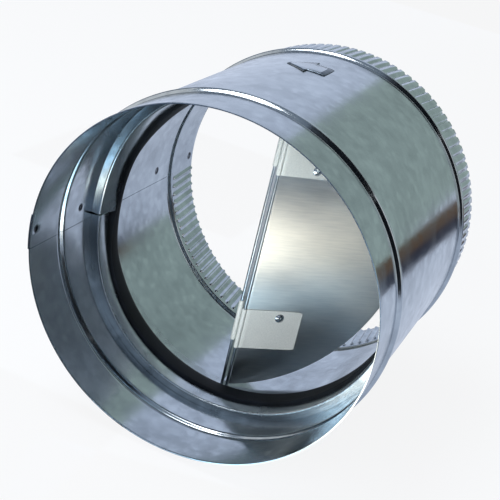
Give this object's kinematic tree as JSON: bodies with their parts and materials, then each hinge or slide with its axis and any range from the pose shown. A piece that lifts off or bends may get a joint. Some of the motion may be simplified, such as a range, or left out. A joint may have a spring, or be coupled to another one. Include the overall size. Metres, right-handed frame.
{
  "type": "backdraft damper",
  "caption": "Round in-line duct damper with two hinged half-disc blades that let air through one way and shut against a rubber seat.",
  "frame": {"origin": "centre of the inlet mouth, on the duct's axis", "axes": "+X along the duct in the direction of the air, +Z along the two hinge pins, +Y towards the seam side"},
  "size_m": [0.153, 0.1559, 0.1554],
  "materials": {
    "galvanised_casing": "hot-dip galvanised, fine spangle",
    "galvanised_ring": "galvanised, rolled",
    "rubber_gasket": "matt black rubber",
    "pin_wire": "bright drawn wire",
    "aluminium_blade": "mill-finish sheet, lightly brushed",
    "strap_steel": "off-white coated sheet",
    "rivet_aluminium": "bare blind rivet",
    "spring_wire": "spring steel wire"
  },
  "bodies": {
    "casing_body": {"casing": "galvanised_casing", "seat_ring": "galvanised_ring", "gasket": "rubber_gasket", "hinge_pin_left": "pin_wire", "hinge_pin_right": "pin_wire"},
    "left_blade": {"blade_left": "aluminium_blade", "hinge_strap_left_upper": "strap_steel", "hinge_strap_left_lower": "strap_steel", "strap_rivet_left_upper": "rivet_aluminium", "strap_rivet_left_lower": "rivet_aluminium", "closing_spring_left": "spring_wire"},
    "right_blade": {"blade_right": "aluminium_blade", "hinge_strap_right_upper": "strap_steel", "hinge_strap_right_lower": "strap_steel", "strap_rivet_right_upper": "rivet_aluminium", "strap_rivet_right_lower": "rivet_aluminium", "closing_spring_right": "spring_wire"}
  },
  "joints": [
    {"name": "left_blade_swing", "type": "hinge", "parent": "casing_body", "child": "left_blade", "pos_m": [0.0665, 0.0012, 0], "axis": [0, 0, -1], "range_deg": [-84, 2], "stiffness_Nm_per_rad": 0.0015, "springref_deg": -100},
    {"name": "right_blade_swing", "type": "hinge", "parent": "casing_body", "child": "right_blade", "pos_m": [0.0665, -0.0012, 0], "axis": [0, 0, 1], "range_deg": [-40, 46], "stiffness_Nm_per_rad": 0.0015, "springref_deg": -56}
  ]
}
